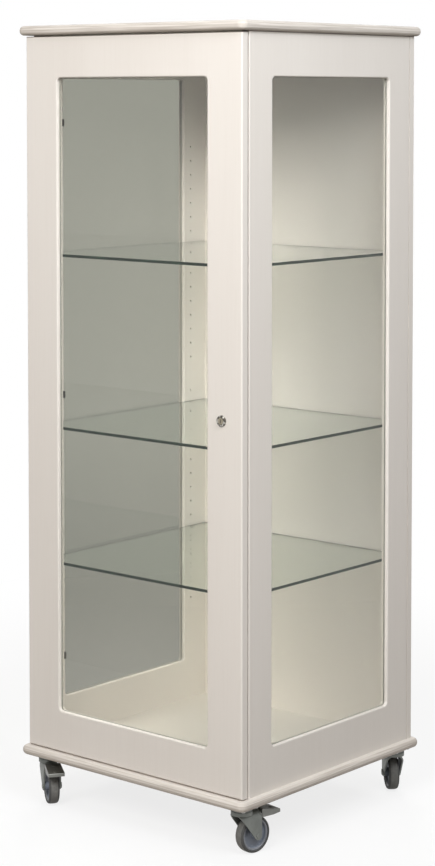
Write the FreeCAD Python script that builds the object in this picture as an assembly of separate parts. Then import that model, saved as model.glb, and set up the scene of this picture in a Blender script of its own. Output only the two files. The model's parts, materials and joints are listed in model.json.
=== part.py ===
import FreeCAD, Part

import math
import os

os.makedirs("parts", exist_ok=True)

Vec = FreeCAD.Vector
RIGHT = Vec(1, 0, 0)
BACK = Vec(0, 1, 0)
UP = Vec(0, 0, 1)

# A glazed display case on castors. X runs to the right, Y to the back and Z up from the floor.
# The door is at the front, hinged on the left. All sizes are in millimetres.

# Carcass
BODY_WIDTH = 592.0  # across the side panels, which is also the door's width
SIDE_DEPTH = 534.0
SIDE_HEIGHT = 1512.0
SIDE_THICK = 19.0
BACK_THICK = 16.0
BOARD_THICK = 20.0
BOARD_OVERHANG = 14.0
NOSE_FLAT = 1.0  # flat left between the two rounds of a board's edge
CORNER_EXTRA = 6.0  # a board's corner in plan, beyond the round of its edge
EDGE_ROUND = 3.0  # softened edges of the door, side panels and windows
BACK_ROUND = 1.5

# Windows and their glass
SIDE_STILE = 72.5
RAIL = 89.0  # above and below the side windows, with which the door's window lines up
DOOR_STILE = 90.0
WINDOW_CORNER = 9.0
GLASS = 4.0
GASKET_WALL = 0.8
GASKET_BASE = 1.0
GASKET_LIP = 1.2  # how far the gasket shows inside the window
SLOT_DEPTH = 9.0
SLOT_PLAY = 0.1

# Door
DOOR_THICK = 19.0
DOOR_END_GAP = 2.5  # above and below
DOOR_BACK_GAP = 2.5
BUMPER_RADIUS = 4.0
BUMPER_END = 60.0
BUMPER_GAP = 0.3

# Shelves and their pins
SHELF_THICK = 6.0
SHELF_SIDE_GAP = 2.0
SHELF_FRONT_GAP = 2.5  # behind the side panels' front edges
SHELF_BACK_GAP = 3.0
PIN_SETBACK = 50.0  # from the side panels' front and rear edges
PIN_RADIUS = 2.5
PIN_PLAY = 0.1
PIN_IN = 8.0
PIN_OUT = 9.0
PIN_STUD = 3.5
PIN_COLLAR = 4.5
PIN_COLLAR_THICK = 1.5
PIN_SEAT = 2.0  # flat on which the glass lies, above the pin's middle
HOLE_DEPTH = 10.0
HOLE_PITCH = 32.0
HOLES_IN_GROUP = 16
HOLE_BASE = 233.0  # lowest hole, above the bottom board
GROUP_GAP = 77.0  # between the lower and the upper group
SHELF_PLACES = {"lower_shelf": (0, 5), "middle_shelf": (0, 14), "upper_shelf": (1, 8)}  # group and hole

# Joinery
DOWEL_RADIUS = 4.0
DOWEL_IN_BOARD = 12.0
DOWEL_IN_PANEL = 18.0
DOWEL_SETBACK = 20.0
DOWEL_PLAY = 0.1
CARCASS_SCREW_RADIUS = 3.0
CARCASS_SCREW_HEAD = 5.0
CARCASS_SCREW_SINK = 3.0
CARCASS_SCREW_IN = 30.0
CARCASS_SCREW_SETBACK = 50.0
BACK_SCREW_RADIUS = 2.0
BACK_SCREW_HEAD = 4.0
BACK_SCREW_IN = 24.0
BACK_SCREW_END = 80.0
BACK_SCREWS = 5  # along each side
SCREW_PLAY = 0.05
RUNNING_PLAY = 0.05  # of every pin that turns in its bore

# Concealed hinges
HINGE_END = 181.0  # outer hinges, from the ends of the door
MID_HEIGHT = 745.5  # middle hinge and lock, above the door's lower edge
CUP_RADIUS = 17.5
CUP_EDGE = 3.0  # wood between the cup and the door's edge
CUP_DEPTH = 13.5
CUP_WALL = 0.8
CUP_PLAY = 0.1
FLANGE_THICK = 1.2
FLANGE_HALF_HEIGHT = 31.0
FLANGE_HALF_WIDTH = 7.0
CUP_SCREW_SPAN = 24.0
AXIS_IN = 6.5  # turning axis, from the door's edge
AXIS_DEPTH = 10.0  # and from the door's back face
HINGE_PIN_RADIUS = 1.0
KNUCKLE_RADIUS = 2.0
KNUCKLE_HALF = 4.0
ARM_CLEAR = 0.3
LEG_DEPTH = 3.0
ARM_START = 2.5  # bridge of the arm, behind the side panel's front edge
ARM_BRIDGE = 4.0
ARM_LENGTH = 57.0
ARM_THICK = 4.5
ARM_HALF = 7.5
PLATE_SETBACK = 37.0  # mounting plate's middle, behind the side panel's front edge
WING_THICK = 2.5
WING_HALF_DEPTH = 8.0
WING_HALF_HEIGHT = 25.0
SADDLE_HEIGHT = 10.5
SADDLE_HALF_DEPTH = 19.0
SADDLE_HALF_HEIGHT = 6.0
WING_SCREW_SPAN = 16.0

# Small countersunk screws of the hinges and the strike plate
SMALL_SCREW_RADIUS = 1.75
SMALL_SCREW_HEAD = 3.4
SMALL_SCREW_SINK = 1.7
SMALL_SCREW_IN = 11.0

# Cam lock
LOCK_INSET = 52.0  # from the door's free edge
LOCK_HEAD_RADIUS = 11.5
LOCK_HEAD_THICK = 3.0
LOCK_HEAD_ROUND = 1.6
BARREL_RADIUS = 9.0
BARREL_PLAY = 0.1
BARREL_BEYOND = 5.0  # behind the door
PLUG_RADIUS = 6.5
PLUG_PROUD = 0.4
KEYHOLE_WIDTH = 1.6
KEYHOLE_HEIGHT = 7.5
KEYHOLE_DEPTH = 9.0
NUT_FLATS = 22.0
NUT_THICK = 4.0
CAM_GAP = 0.3
CAM_THICK = 2.0
CAM_REACH = 24.0
CAM_TAIL = 8.0
CAM_HALF = 6.0
CAM_SCREW_RADIUS = 2.0
CAM_SCREW_HEAD = 4.0
CAM_SCREW_HEAD_THICK = 2.5
CAM_SCREW_IN = 7.0
STRIKE_THICK = 2.0
STRIKE_LIP = 18.0
STRIKE_BASE = 30.0
STRIKE_HALF_HEIGHT = 20.0
STRIKE_GAP = 0.5  # between the lip and the cam
STRIKE_SCREW_SPAN = 12.0

# Castors
CASTOR_SIDE_INSET = 27.0  # king pins, from the body's faces
CASTOR_FRONT_INSET = 32.5
CASTOR_REAR_INSET = 25.0
WHEEL_DIA = 75.0
WHEEL_WIDTH = 23.0
WHEEL_SIDE_GAP = 4.5
HUB_GAP = 0.4
HUB_RADIUS = 9.0
TYRE_DEPTH = 6.0
TYRE_ROUND = 5.5
RIM_HALF = 9.8
RIM_WALL = 3.5
WEB_HALF = 4.5
AXLE_RADIUS = 4.0
AXLE_HEAD = 5.5
AXLE_HEAD_THICK = 1.5
AXLE_NUT_FLATS = 12.0
AXLE_NUT_THICK = 2.2
TRAIL = 28.0
LEG_THICK = 3.0
TIP_RADIUS = 9.0
FORK_LEAD = 18.0
SHOULDER_DROP = 6.0  # where the leading edge starts to slant, below the top of the arch
ARCH_DROP = 2.1  # top of the fork's arch, below the top of its crown
CROWN_ROOM = 8.0  # between the wheel and the crown
CROWN_THICK = 7.6
CROWN_RADIUS = 22.0
SWIVEL_GAP = 0.4
RACE_HEIGHT = 6.7
RACE_INNER = 12.0
RACE_OUTER = 21.0
CASTOR_PLATE = 54.0
CASTOR_PLATE_THICK = 3.0
CASTOR_PLATE_CORNER = 6.0
CASTOR_HOLE_SPAN = 40.0
CASTOR_HOLE_RADIUS = 3.2
KING_PIN_RADIUS = 5.0
KING_PIN_HEAD = 8.0
KING_PIN_HEAD_THICK = 3.0
CASTOR_SCREW_RADIUS = 2.5
CASTOR_SCREW_HEAD = 4.5
CASTOR_SCREW_HEAD_THICK = 3.0
CASTOR_SCREW_IN = 13.0

# Brake pedals of the front castors
PEDAL_AHEAD = 6.0  # pivot, beyond the axle
PEDAL_ABOVE = 4.5  # and above the wheel
PEDAL_PIN_RADIUS = 2.0
PEDAL_HUB_RADIUS = 3.5
PEDAL_HUB_GAP = 0.5  # under the fork's arch
PEDAL_WEB = 2.2  # web from the hub to the shoe, above the pivot
PEDAL_THICK = 2.4
PEDAL_START = 2.5  # plate, beyond the fork
PEDAL_LENGTH = 47.0
PEDAL_DROP = 2.1  # root of the plate, below the top of the crown
PEDAL_FALL = 8.0  # from the root to the tip
PEDAL_SIDE_GAP = 2.6  # between the skirt and the wheel's side
PEDAL_FLARE = 0.8  # on each side, from the root to the tip
PEDAL_LIP = 7.0
PEDAL_BEND = 2.0
SKIRT_DEPTH = 17.0
SKIRT_LENGTH = 30.0  # before the skirt's lower edge rises to the lip
STUD_RADIUS = 5.0
STUD_HEIGHT = 1.0
STUD_INSET = 10.0
SHOE_HALF = 6.0
SHOE_LENGTH = 7.0
SHOE_GAP = 2.2  # between the brake shoe and the tyre

# Direction in which each castor trails, in degrees from +X
CASTORS = {
    "front_left": (-1, -1, -34.5),
    "front_right": (1, -1, 80.0),
    "rear_left": (-1, 1, 80.0),
    "rear_right": (1, 1, 137.5),
}
BRAKED = ("front_left", "front_right")

TOUCH = 1e-4

# Places that follow from the sizes above
half_width = BODY_WIDTH / 2
side_inner = half_width - SIDE_THICK
body_depth = DOOR_THICK + DOOR_BACK_GAP + SIDE_DEPTH + BACK_THICK
door_front = -body_depth / 2
door_back = door_front + DOOR_THICK
side_front = door_back + DOOR_BACK_GAP
side_rear = side_front + SIDE_DEPTH
side_middle = (side_front + side_rear) / 2
back_rear = side_rear + BACK_THICK

crown_under = WHEEL_DIA + CROWN_ROOM
crown_top = crown_under + CROWN_THICK
race_low = crown_top + SWIVEL_GAP
plate_low = race_low + RACE_HEIGHT
castor_height = plate_low + CASTOR_PLATE_THICK
axle_height = WHEEL_DIA / 2
fork_inner = WHEEL_WIDTH / 2 + WHEEL_SIDE_GAP
fork_outer = fork_inner + LEG_THICK
arch_top = crown_top - ARCH_DROP
arch_height = arch_top - fork_outer
fork_tail = TRAIL + TIP_RADIUS

floor_height = castor_height + BOARD_THICK
ceiling_height = floor_height + SIDE_HEIGHT
door_low = floor_height + DOOR_END_GAP
door_height = SIDE_HEIGHT - 2 * DOOR_END_GAP
door_rail = RAIL - DOOR_END_GAP

slot_width = GLASS + 2 * GASKET_WALL
board_nose = (BOARD_THICK - NOSE_FLAT) / 2
board_corner = board_nose + CORNER_EXTRA

hinge_x = -half_width + AXIS_IN
hinge_y = door_back - AXIS_DEPTH
mid_height = door_low + MID_HEIGHT
hinge_heights = {
    "upper": door_low + door_height - HINGE_END,
    "middle": mid_height,
    "lower": door_low + HINGE_END,
}
lock_x = half_width - LOCK_INSET
barrel_end = door_back + BARREL_BEYOND
cam_front = barrel_end + CAM_GAP
cam_rear = cam_front + CAM_THICK

pedal_x = TRAIL + PEDAL_AHEAD
pedal_z = WHEEL_DIA + PEDAL_ABOVE
pedal_start = fork_tail + PEDAL_START
pedal_end = pedal_start + PEDAL_LENGTH
pedal_root = crown_top - PEDAL_DROP
pedal_tip = pedal_root - PEDAL_FALL
pedal_neck = WHEEL_WIDTH / 2 + PEDAL_SIDE_GAP + PEDAL_THICK
pedal_hub_rise = pedal_z + PEDAL_HUB_RADIUS - arch_height
pedal_hub_half = math.sqrt(fork_inner**2 - pedal_hub_rise**2) - PEDAL_HUB_GAP


def block(x0, x1, y0, y1, z0, z1):
    """Box between two corners."""
    return Part.makeBox(x1 - x0, y1 - y0, z1 - z0, Vec(x0, y0, z0))


def rod(radius, start, direction, length):
    """Cylinder from a point, along a direction."""
    return Part.makeCylinder(radius, length, start, direction)


def hex_bar(flats, start, direction, length):
    """Hexagonal bar from a point, along a direction."""
    circumscribed = flats / math.sqrt(3)
    angles = [k * math.pi / 3 for k in range(7)]
    corners = [Vec(math.cos(a), math.sin(a), 0) * circumscribed for a in angles]
    bar = Part.Face(Part.makePolygon(corners)).extrude(UP * length)
    bar.Placement = FreeCAD.Placement(start, FreeCAD.Rotation(UP, direction))
    return bar


def countersunk(radius, head, sink, start, direction, length):
    """Countersunk screw whose flat head lies at a point, along a direction."""
    cone = Part.makeCone(head, radius, sink, start, direction)
    return cone.fuse(rod(radius, start, direction, length)).removeSplitter()


def mirrored(shape):
    """The same shape on the other side of the case's middle plane."""
    return shape.mirror(Vec(0, 0, 0), RIGHT)


def minus(shape, tools):
    """Shape with a list of tools cut out of it."""
    return shape.cut(Part.makeCompound(tools))


def upright_edges(shape):
    return [e for e in shape.Edges if e.BoundBox.XLength < TOUCH and e.BoundBox.YLength < TOUCH]


def level_edges(shape, height):
    return [e for e in shape.Edges if e.BoundBox.ZLength < TOUCH and abs(e.BoundBox.ZMin - height) < TOUCH]


def save(node, *solids):
    """Writes one piece, or a group of like pieces, to its own file."""
    shape = solids[0] if len(solids) == 1 else Part.makeCompound(list(solids))
    shape.exportStep(f"parts/{node}.step")


# Boards
def board(low):
    """Top or bottom board, with a rounded edge all the way round."""
    half_w = half_width + BOARD_OVERHANG
    half_d = body_depth / 2 + BOARD_OVERHANG
    plate = block(-half_w, half_w, -half_d, half_d, low, low + BOARD_THICK)
    plate = plate.makeFillet(board_corner, upright_edges(plate))
    rims = level_edges(plate, low) + level_edges(plate, low + BOARD_THICK)
    return plate.makeFillet(board_nose, rims)


# Glazed panels stand with their inner face at Y = 0 and their outer face towards -Y
def window_edges(panel, width, height, thick, all_round):
    """Edges of a panel that are softened: the window's, and the outline's where it shows."""
    chosen = []
    for edge in panel.Edges:
        box = edge.BoundBox
        if box.YLength > TOUCH:
            continue
        on_ends = box.ZMax < TOUCH or box.ZMin > height - TOUCH
        on_sides = box.XMax < TOUCH - width / 2 or box.XMin > width / 2 - TOUCH
        outside = abs(box.YMin + thick) < TOUCH
        if all_round or not (on_ends or on_sides) or (on_sides and outside):
            chosen.append(edge)
    return chosen


def glazed_panel(width, height, thick, stile, rail, all_round):
    """Panel with a routed window and the slot in which its glass stands, open at the top."""
    half_w = width / 2 - stile
    panel = block(-width / 2, width / 2, -thick, 0, 0, height)
    window = block(-half_w, half_w, -2 * thick, thick, rail, height - rail)
    across = [e for e in window.Edges if e.BoundBox.XLength < TOUCH and e.BoundBox.ZLength < TOUCH]
    panel = panel.cut(window.makeFillet(WINDOW_CORNER, across))
    panel = panel.makeFillet(EDGE_ROUND, window_edges(panel, width, height, thick, all_round))
    middle = -thick / 2
    reach = half_w + SLOT_DEPTH
    slot = block(
        -reach, reach, middle - slot_width / 2, middle + slot_width / 2, rail - SLOT_DEPTH, height
    )
    return panel.cut(slot)


def glazing(width, height, thick, stile, rail):
    """Pane, gasket and slot strip of a glazed panel."""
    half_w = width / 2 - stile
    middle = -thick / 2
    seat = half_w + SLOT_DEPTH
    low = rail - SLOT_DEPTH
    high = height - rail + SLOT_DEPTH
    pane_half = seat - GASKET_BASE
    pane = block(
        -pane_half, pane_half, middle - GLASS / 2, middle + GLASS / 2, low + GASKET_BASE, high - GASKET_BASE
    )
    ring = block(-seat, seat, middle - slot_width / 2, middle + slot_width / 2, low, high)
    open_half = half_w - GASKET_LIP
    opening = block(
        -open_half, open_half, middle - thick, middle + thick, rail + GASKET_LIP, height - rail - GASKET_LIP
    )
    gasket = minus(ring, [pane, opening])
    strip_half = seat - SLOT_PLAY
    strip_depth = slot_width / 2 - SLOT_PLAY
    strip = block(-strip_half, strip_half, middle - strip_depth, middle + strip_depth, high, height)
    return pane, gasket, strip


def as_right_side(shape):
    """Stands a panel's piece on the right, with its outer face towards +X."""
    placed = shape.copy()
    placed.rotate(Vec(0, 0, 0), UP, 90)
    placed.translate(Vec(side_inner, side_middle, floor_height))
    return placed


def as_door(shape):
    placed = shape.copy()
    placed.translate(Vec(0, door_back, door_low))
    return placed


# Shelf pins and their holes, on the right side panel
pin_rows = (side_front + PIN_SETBACK, side_rear - PIN_SETBACK)


def hole_height(group, index):
    group_height = (HOLES_IN_GROUP - 1) * HOLE_PITCH + GROUP_GAP
    return floor_height + HOLE_BASE + group * group_height + index * HOLE_PITCH


def pin_holes():
    heights = [hole_height(group, index) for group in range(2) for index in range(HOLES_IN_GROUP)]
    places = [Vec(side_inner, y, z) for y in pin_rows for z in heights]
    return [rod(PIN_RADIUS + PIN_PLAY, place, RIGHT, HOLE_DEPTH) for place in places]


def shelf_pin(y, z):
    """Pin with a collar and a flat-topped stud on which the glass lies."""
    peg = rod(PIN_RADIUS, Vec(side_inner, y, z), RIGHT, PIN_IN)
    collar = rod(PIN_COLLAR, Vec(side_inner - PIN_COLLAR_THICK, y, z), RIGHT, PIN_COLLAR_THICK)
    stud = rod(PIN_STUD, Vec(side_inner - PIN_OUT, y, z), RIGHT, PIN_OUT)
    above = block(side_inner - PIN_OUT, side_inner, y - PIN_STUD, y + PIN_STUD, z + PIN_SEAT, z + PIN_STUD)
    return peg.fuse([collar, stud.cut(above)]).removeSplitter()


def shelf(bottom):
    half_w = side_inner - SHELF_SIDE_GAP
    front = side_front + SHELF_FRONT_GAP
    return block(-half_w, half_w, front, side_rear - SHELF_BACK_GAP, bottom, bottom + SHELF_THICK)


# Joinery on the right side
panel_middle = half_width - SIDE_THICK / 2
dowel_rows = (side_front + DOWEL_SETBACK, side_rear - DOWEL_SETBACK)
screw_rows = (side_front + CARCASS_SCREW_SETBACK, side_rear - CARCASS_SCREW_SETBACK)


def dowels(play):
    """Dowels of the right side panel, or their holes where they get play."""
    length = DOWEL_IN_BOARD + DOWEL_IN_PANEL + 2 * play
    radius = DOWEL_RADIUS + play
    low = floor_height - DOWEL_IN_BOARD - play
    high = ceiling_height - DOWEL_IN_PANEL - play
    return [rod(radius, Vec(panel_middle, y, z), UP, length) for y in dowel_rows for z in (low, high)]


def carcass_screws(play):
    """Screws from below, through the bottom board into the right side panel."""
    length = BOARD_THICK + CARCASS_SCREW_IN + play
    return [
        countersunk(
            CARCASS_SCREW_RADIUS + play,
            CARCASS_SCREW_HEAD + play,
            CARCASS_SCREW_SINK,
            Vec(panel_middle, y, castor_height),
            UP,
            length,
        )
        for y in screw_rows
    ]


def back_screws(play):
    """Screws from behind, through the back panel into the right side panel's rear edge."""
    first = floor_height + BACK_SCREW_END
    step = (SIDE_HEIGHT - 2 * BACK_SCREW_END) / (BACK_SCREWS - 1)
    sink = BACK_SCREW_HEAD - BACK_SCREW_RADIUS
    return [
        countersunk(
            BACK_SCREW_RADIUS + play,
            BACK_SCREW_HEAD + play,
            sink,
            Vec(panel_middle, back_rear, first + k * step),
            -BACK,
            BACK_THICK + BACK_SCREW_IN + play,
        )
        for k in range(BACK_SCREWS)
    ]


def small_screw(start, direction, play):
    return countersunk(
        SMALL_SCREW_RADIUS + play,
        SMALL_SCREW_HEAD + play,
        SMALL_SCREW_SINK,
        start,
        direction,
        SMALL_SCREW_IN + play,
    )


# Concealed hinges
cup_x = -half_width + CUP_EDGE + CUP_RADIUS
cup_cavity = CUP_RADIUS - CUP_WALL
flange_rear = door_back + FLANGE_THICK
cup_screw_x = cup_x + FLANGE_HALF_WIDTH
wing_y = side_front + PLATE_SETBACK


def cup_screws(z, play):
    heights = (z - CUP_SCREW_SPAN, z + CUP_SCREW_SPAN)
    return [small_screw(Vec(cup_screw_x, flange_rear, height), -BACK, play) for height in heights]


def hinge_cup(z):
    """Cup sunk in the door's back, with a flange that two screws hold."""
    cup = rod(CUP_RADIUS, Vec(cup_x, flange_rear, z), -BACK, CUP_DEPTH + FLANGE_THICK)
    flange = block(
        cup_screw_x - FLANGE_HALF_WIDTH,
        cup_screw_x + FLANGE_HALF_WIDTH,
        door_back,
        flange_rear,
        z - FLANGE_HALF_HEIGHT,
        z + FLANGE_HALF_HEIGHT,
    )
    cavity = rod(cup_cavity, Vec(cup_x, flange_rear, z), -BACK, CUP_DEPTH + FLANGE_THICK - CUP_WALL)
    return minus(cup.fuse(flange), [cavity] + cup_screws(z, SCREW_PLAY)).removeSplitter()


def hinge_pin(z):
    """Pin across the cup, on the door's turning axis."""
    half = math.sqrt(cup_cavity**2 - (abs(cup_x - hinge_x) + HINGE_PIN_RADIUS) ** 2)
    return rod(HINGE_PIN_RADIUS, Vec(hinge_x, hinge_y, z - half), UP, 2 * half)


def hinge_arm(z):
    """Arm that reaches into the cup from the mounting plate and turns on the pin."""
    knuckle = rod(KNUCKLE_RADIUS, Vec(hinge_x, hinge_y, z - KNUCKLE_HALF), UP, 2 * KNUCKLE_HALF)
    leg_x = ARM_CLEAR - side_inner
    leg_y = side_front + ARM_START
    link = block(
        hinge_x, leg_x + LEG_DEPTH, hinge_y - KNUCKLE_RADIUS, hinge_y, z - KNUCKLE_HALF, z + KNUCKLE_HALF
    )
    leg = block(
        leg_x, leg_x + LEG_DEPTH, hinge_y - KNUCKLE_RADIUS, leg_y, z - KNUCKLE_HALF, z + KNUCKLE_HALF
    )
    arm_low = SADDLE_HEIGHT - side_inner
    bridge = block(leg_x, arm_low + ARM_THICK, leg_y, leg_y + ARM_BRIDGE, z - ARM_HALF, z + ARM_HALF)
    arm = block(arm_low, arm_low + ARM_THICK, leg_y, leg_y + ARM_LENGTH, z - ARM_HALF, z + ARM_HALF)
    bore = rod(HINGE_PIN_RADIUS + RUNNING_PLAY, Vec(hinge_x, hinge_y, z - ARM_HALF), UP, 2 * ARM_HALF)
    body = knuckle.fuse([link, leg, bridge, arm]).cut(bore)
    return body.removeSplitter()


def plate_screws(z, play):
    return [
        small_screw(Vec(WING_THICK - side_inner, wing_y, z + side * WING_SCREW_SPAN), -RIGHT, play)
        for side in (-1, 1)
    ]


def hinge_plate(z):
    """Mounting plate on the left side panel, with the saddle that carries the arm."""
    face = -side_inner
    wings = block(
        face,
        face + WING_THICK,
        wing_y - WING_HALF_DEPTH,
        wing_y + WING_HALF_DEPTH,
        z - WING_HALF_HEIGHT,
        z + WING_HALF_HEIGHT,
    )
    saddle = block(
        face,
        face + SADDLE_HEIGHT,
        wing_y - SADDLE_HALF_DEPTH,
        wing_y + SADDLE_HALF_DEPTH,
        z - SADDLE_HALF_HEIGHT,
        z + SADDLE_HALF_HEIGHT,
    )
    return minus(wings.fuse(saddle), plate_screws(z, SCREW_PLAY)).removeSplitter()


# Cam lock, on an axis along Y through the door's free stile
def on_lock(y):
    return Vec(lock_x, y, mid_height)


def lock_body():
    """Head and threaded barrel, bored for the plug."""
    head = rod(LOCK_HEAD_RADIUS, on_lock(door_front - LOCK_HEAD_THICK), BACK, LOCK_HEAD_THICK)
    rim = [e for e in head.Edges if e.BoundBox.YMax < door_front - TOUCH and e.BoundBox.YLength < TOUCH]
    head = head.makeFillet(LOCK_HEAD_ROUND, rim)
    barrel = rod(BARREL_RADIUS, on_lock(door_front), BACK, barrel_end - door_front)
    bore = rod(PLUG_RADIUS + RUNNING_PLAY, on_lock(door_front - 2 * LOCK_HEAD_THICK), BACK, 2 * body_depth)
    return head.fuse(barrel).cut(bore).removeSplitter()


def lock_plug():
    """Turning plug with its keyhole."""
    front = door_front - LOCK_HEAD_THICK - PLUG_PROUD
    plug = rod(PLUG_RADIUS, on_lock(front), BACK, cam_front - front)
    keyhole = block(
        lock_x - KEYHOLE_WIDTH / 2,
        lock_x + KEYHOLE_WIDTH / 2,
        front,
        front + KEYHOLE_DEPTH,
        mid_height - KEYHOLE_HEIGHT / 2,
        mid_height + KEYHOLE_HEIGHT / 2,
    )
    thread = rod(CAM_SCREW_RADIUS, on_lock(cam_front - CAM_SCREW_IN), BACK, CAM_SCREW_IN)
    return minus(plug, [keyhole, thread])


def lock_cam():
    """Cam that turns behind the strike plate's lip. At rest it points up and the door is free."""
    low = mid_height - CAM_TAIL
    tongue = block(lock_x - CAM_HALF, lock_x + CAM_HALF, cam_front, cam_rear, low, mid_height + CAM_REACH)
    across = [e for e in tongue.Edges if e.BoundBox.XLength < TOUCH and e.BoundBox.ZLength < TOUCH]
    tongue = tongue.makeFillet(CAM_HALF / 2, across)
    return tongue.cut(rod(CAM_SCREW_RADIUS, on_lock(cam_front), BACK, CAM_THICK))


def lock_cam_screw():
    shank = rod(CAM_SCREW_RADIUS, on_lock(cam_front - CAM_SCREW_IN), BACK, CAM_SCREW_IN + CAM_THICK)
    head = rod(CAM_SCREW_HEAD, on_lock(cam_rear), BACK, CAM_SCREW_HEAD_THICK)
    return shank.fuse(head).removeSplitter()


def lock_nut():
    nut = hex_bar(NUT_FLATS, on_lock(door_back), BACK, NUT_THICK)
    return nut.cut(rod(BARREL_RADIUS, on_lock(door_back), BACK, NUT_THICK))


lip_rear = cam_front - STRIKE_GAP
lip_front = lip_rear - STRIKE_THICK
strike_screw_y = lip_front + STRIKE_BASE / 2


def strike_screws(play):
    start = side_inner - STRIKE_THICK
    return [
        small_screw(Vec(start, strike_screw_y, mid_height + side * STRIKE_SCREW_SPAN), RIGHT, play)
        for side in (-1, 1)
    ]


def strike_plate():
    """Angle on the right side panel, behind whose lip the cam turns."""
    low = mid_height - STRIKE_HALF_HEIGHT
    high = mid_height + STRIKE_HALF_HEIGHT
    base = block(side_inner - STRIKE_THICK, side_inner, lip_front, lip_front + STRIKE_BASE, low, high)
    lip = block(side_inner - STRIKE_LIP, side_inner, lip_front, lip_rear, low, high)
    return minus(base.fuse(lip), strike_screws(SCREW_PLAY)).removeSplitter()


def door_bumper(z):
    return rod(BUMPER_RADIUS, Vec(panel_middle, door_back, z), BACK, DOOR_BACK_GAP - BUMPER_GAP)


# Castors are built about the king pin, trailing towards +X, and then turned and placed
def castor_place(corner):
    side_x, side_y, angle = CASTORS[corner]
    x = side_x * (half_width - CASTOR_SIDE_INSET)
    inset = CASTOR_FRONT_INSET if side_y < 0 else CASTOR_REAR_INSET
    y = side_y * (body_depth / 2 - inset)
    return Vec(x, y, 0), angle


def placed_castor(shape, corner, turned=True):
    place, angle = castor_place(corner)
    copy = shape.copy()
    if turned:
        copy.rotate(Vec(0, 0, 0), UP, angle)
    copy.translate(place)
    return copy


castor_holes = [
    Vec(x * CASTOR_HOLE_SPAN / 2, y * CASTOR_HOLE_SPAN / 2, plate_low) for x in (-1, 1) for y in (-1, 1)
]


def castor_plate():
    """Square top plate with the race that the fork turns under."""
    half = CASTOR_PLATE / 2
    plate = block(-half, half, -half, half, plate_low, castor_height)
    plate = plate.makeFillet(CASTOR_PLATE_CORNER, upright_edges(plate))
    race = rod(RACE_OUTER, Vec(0, 0, race_low), UP, RACE_HEIGHT)
    race = race.cut(rod(RACE_INNER, Vec(0, 0, race_low), UP, RACE_HEIGHT))
    bores = [rod(CASTOR_HOLE_RADIUS, hole, UP, CASTOR_PLATE_THICK) for hole in castor_holes]
    bores.append(rod(KING_PIN_RADIUS, Vec(0, 0, race_low), UP, castor_height - race_low))
    return minus(plate.fuse(race), bores).removeSplitter()


def king_pin():
    head_top = crown_under - SWIVEL_GAP
    pin = rod(KING_PIN_RADIUS, Vec(0, 0, head_top), UP, castor_height - head_top)
    head = rod(KING_PIN_HEAD, Vec(0, 0, head_top - KING_PIN_HEAD_THICK), UP, KING_PIN_HEAD_THICK)
    return pin.fuse(head).removeSplitter()


def castor_screw(hole):
    head = rod(CASTOR_SCREW_HEAD, hole - UP * CASTOR_SCREW_HEAD_THICK, UP, CASTOR_SCREW_HEAD_THICK)
    return head.fuse(castor_screw_shank(hole, 0)).removeSplitter()


def castor_screw_shank(hole, play):
    return rod(CASTOR_SCREW_RADIUS + play, hole, UP, CASTOR_PLATE_THICK + CASTOR_SCREW_IN + play)


def arch(radius, start, end):
    """Solid with a round top, along the direction of travel."""
    top = rod(radius, Vec(start, 0, arch_height), RIGHT, end - start)
    return top.fuse(block(start, end, -radius, radius, 0, arch_height))


def fork_outline():
    """Side view of the fork's legs: a slanted leading edge and an upright trailing edge."""
    shoulder = Vec(-FORK_LEAD, -fork_outer, arch_top - SHOULDER_DROP)
    axle = Vec(TRAIL, -fork_outer, axle_height)
    across = axle - shoulder
    slope = math.atan2(across.z, across.x) - math.asin(TIP_RADIUS / across.Length)
    run = math.sqrt(across.Length**2 - TIP_RADIUS**2)
    tangent = shoulder + Vec(run * math.cos(slope), 0, run * math.sin(slope))
    points = [
        Vec(-FORK_LEAD, -fork_outer, crown_top),
        shoulder,
        tangent,
        axle,
        Vec(fork_tail, -fork_outer, axle_height),
        Vec(fork_tail, -fork_outer, crown_top),
    ]
    side = Part.Face(Part.makePolygon(points + points[:1])).extrude(BACK * (2 * fork_outer))
    return side.fuse(rod(TIP_RADIUS, axle, BACK, 2 * fork_outer))


def castor_fork(braked):
    """Pressed fork: an arch over the wheel with two legs, and the crown that turns on the king pin."""
    shell = arch(fork_outer, -FORK_LEAD, fork_tail).cut(arch(fork_inner, -2 * FORK_LEAD, 2 * fork_tail))
    legs = shell.common(fork_outline())
    crown = rod(CROWN_RADIUS, Vec(0, 0, crown_under), UP, CROWN_THICK)
    bores = [
        rod(KING_PIN_RADIUS + RUNNING_PLAY, Vec(0, 0, crown_under), UP, CROWN_THICK),
        rod(AXLE_RADIUS, Vec(TRAIL, -fork_outer, axle_height), BACK, 2 * fork_outer),
    ]
    if braked:
        bores.append(
            rod(PEDAL_PIN_RADIUS + RUNNING_PLAY, Vec(pedal_x, -fork_outer, pedal_z), BACK, 2 * fork_outer)
        )
    return minus(legs.fuse(crown), bores).removeSplitter()


def castor_axle():
    """Axle bolt and its nut."""
    shank = rod(AXLE_RADIUS, Vec(TRAIL, -fork_outer, axle_height), BACK, 2 * fork_outer + AXLE_NUT_THICK)
    head = rod(
        AXLE_HEAD, Vec(TRAIL, -fork_outer - AXLE_HEAD_THICK, axle_height), BACK, AXLE_HEAD_THICK
    )
    rim = [e for e in head.Edges if e.BoundBox.YMax < -fork_outer - TOUCH and e.BoundBox.YLength < TOUCH]
    head = head.makeFillet(AXLE_HEAD_THICK / 2, rim)
    nut = hex_bar(AXLE_NUT_FLATS, Vec(TRAIL, fork_outer, axle_height), BACK, AXLE_NUT_THICK)
    nut = nut.cut(rod(AXLE_RADIUS, Vec(TRAIL, fork_outer, axle_height), BACK, AXLE_NUT_THICK))
    return Part.makeCompound([shank.fuse(head).removeSplitter(), nut])


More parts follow.
